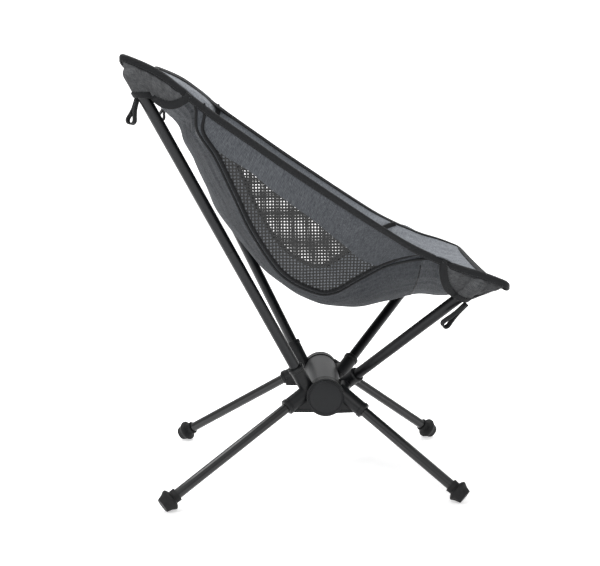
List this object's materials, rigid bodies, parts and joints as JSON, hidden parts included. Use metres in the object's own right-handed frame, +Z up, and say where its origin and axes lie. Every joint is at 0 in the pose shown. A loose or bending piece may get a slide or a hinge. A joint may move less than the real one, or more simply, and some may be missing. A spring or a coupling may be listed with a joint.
{
  "type": "ultralight backpacking chair",
  "caption": "Low folding chair: fabric bucket seat with mesh sides on four poles, a central hub and four splayed legs with round rubber feet.",
  "frame": {"origin": "on the ground, at the middle of the chair's outline seen from above", "axes": "+Z up, the sitter faces +X, +Y is the sitter's left, mirror plane at Y = 0"},
  "size_m": [0.5354, 0.5168, 0.6468],
  "materials": {
    "hub_moulding": "satin glass-filled nylon",
    "hub_cap": "fine matt",
    "cross_tube": "satin anodised, turned",
    "pole_tube": "satin black anodised",
    "leg_tube": "satin black anodised",
    "ferrule": "drawn",
    "tip_cap": "matt",
    "shock_cord": "braided",
    "foot_rubber": "matt moulded",
    "light_fabric": "melange plain weave",
    "dark_fabric": "melange plain weave",
    "side_fabric": "melange plain weave",
    "mesh": "open knitted mesh",
    "binding": "woven tape",
    "piping": "woven tape",
    "pocket_fabric": "melange plain weave",
    "webbing": "ribbed webbing"
  },
  "bodies": {
    "frame": {"hub_left": "hub_moulding", "hub_right": "hub_moulding", "hub_cross_tube": "cross_tube", "hub_cap_left": "hub_cap", "hub_cap_right": "hub_cap", "back_pole_lower_left": "pole_tube", "back_pole_lower_right": "pole_tube", "back_pole_upper_left": "pole_tube", "back_pole_upper_right": "pole_tube", "back_ferrule_left": "ferrule", "back_ferrule_right": "ferrule", "front_pole_left": "pole_tube", "front_pole_right": "pole_tube", "back_tip_cap_left": "tip_cap", "back_tip_cap_right": "tip_cap", "front_tip_cap_left": "tip_cap", "front_tip_cap_right": "tip_cap", "back_pole_cord_left": "shock_cord", "back_pole_cord_right": "shock_cord", "front_pole_cord_left": "shock_cord", "front_pole_cord_right": "shock_cord", "rear_leg_cord_left": "shock_cord", "rear_leg_cord_right": "shock_cord", "front_leg_cord_left": "shock_cord", "front_leg_cord_right": "shock_cord", "back_panel": "light_fabric", "seat_panel": "dark_fabric", "front_panel": "light_fabric", "side_panel_left": "side_fabric", "side_panel_right": "side_fabric", "mesh_panel_left": "mesh", "mesh_panel_right": "mesh", "rim_binding_left": "binding", "rim_binding_right": "binding", "top_hem": "binding", "front_hem": "binding", "seam_piping_left": "piping", "seam_piping_right": "piping"},
    "rear_leg_left": {"rear_leg_left": "leg_tube", "rear_foot_left": "foot_rubber"},
    "rear_leg_right": {"rear_leg_right": "leg_tube", "rear_foot_right": "foot_rubber"},
    "front_leg_left": {"front_leg_left": "leg_tube", "front_foot_left": "foot_rubber"},
    "front_leg_right": {"front_leg_right": "leg_tube", "front_foot_right": "foot_rubber"},
    "back_pocket_left": {"back_pocket_left": "pocket_fabric", "back_pocket_binding_left": "binding"},
    "back_pocket_right": {"back_pocket_right": "pocket_fabric", "back_pocket_binding_right": "binding"},
    "front_pocket_left": {"front_pocket_left": "pocket_fabric", "front_pocket_binding_left": "binding"},
    "front_pocket_right": {"front_pocket_right": "pocket_fabric", "front_pocket_binding_right": "binding"},
    "back_pull_loop_left": {"back_pull_loop_left": "webbing"},
    "back_pull_loop_right": {"back_pull_loop_right": "webbing"},
    "front_pull_loop_left": {"front_pull_loop_left": "webbing"},
    "front_pull_loop_right": {"front_pull_loop_right": "webbing"}
  },
  "joints": [
    {"name": "rear_leg_left_pull", "type": "slide", "parent": "frame", "child": "rear_leg_left", "axis": [-0.7686, 0.3997, -0.4995], "range_m": [0, 0.045], "stiffness_N_per_m": 40, "springref_m": -0.15},
    {"name": "rear_leg_right_pull", "type": "slide", "parent": "frame", "child": "rear_leg_right", "axis": [-0.7686, -0.3997, -0.4995], "range_m": [0, 0.045], "stiffness_N_per_m": 40, "springref_m": -0.15},
    {"name": "front_leg_left_pull", "type": "slide", "parent": "frame", "child": "front_leg_left", "axis": [0.7247, 0.3783, -0.5759], "range_m": [0, 0.045], "stiffness_N_per_m": 40, "springref_m": -0.15},
    {"name": "front_leg_right_pull", "type": "slide", "parent": "frame", "child": "front_leg_right", "axis": [0.7247, -0.3783, -0.5759], "range_m": [0, 0.045], "stiffness_N_per_m": 40, "springref_m": -0.15},
    {"name": "back_pocket_left_pull", "type": "slide", "parent": "frame", "child": "back_pocket_left", "axis": [-0.4283, 0.2879, 0.8566], "range_m": [0, 0.05]},
    {"name": "back_pocket_right_pull", "type": "slide", "parent": "frame", "child": "back_pocket_right", "axis": [-0.4283, -0.2879, 0.8566], "range_m": [0, 0.05]},
    {"name": "front_pocket_left_pull", "type": "slide", "parent": "frame", "child": "front_pocket_left", "axis": [0.5794, 0.5648, 0.5876], "range_m": [0, 0.05]},
    {"name": "front_pocket_right_pull", "type": "slide", "parent": "frame", "child": "front_pocket_right", "axis": [0.5794, -0.5648, 0.5876], "range_m": [0, 0.05]},
    {"name": "back_pull_loop_left_swing", "type": "hinge", "parent": "back_pocket_left", "child": "back_pull_loop_left", "pos_m": [-0.25376, 0.23166, 0.58342], "axis": [0, 1, 0], "range_deg": [-25, 30]},
    {"name": "back_pull_loop_right_swing", "type": "hinge", "parent": "back_pocket_right", "child": "back_pull_loop_right", "pos_m": [-0.25376, -0.23166, 0.58342], "axis": [0, 1, 0], "range_deg": [-25, 30]},
    {"name": "front_pull_loop_left_swing", "type": "hinge", "parent": "front_pocket_left", "child": "front_pull_loop_left", "pos_m": [0.19587, 0.1994, 0.29315], "axis": [0, 1, 0], "range_deg": [-45, 4]},
    {"name": "front_pull_loop_right_swing", "type": "hinge", "parent": "front_pocket_right", "child": "front_pull_loop_right", "pos_m": [0.19587, -0.1994, 0.29315], "axis": [0, 1, 0], "range_deg": [-45, 4]}
  ]
}
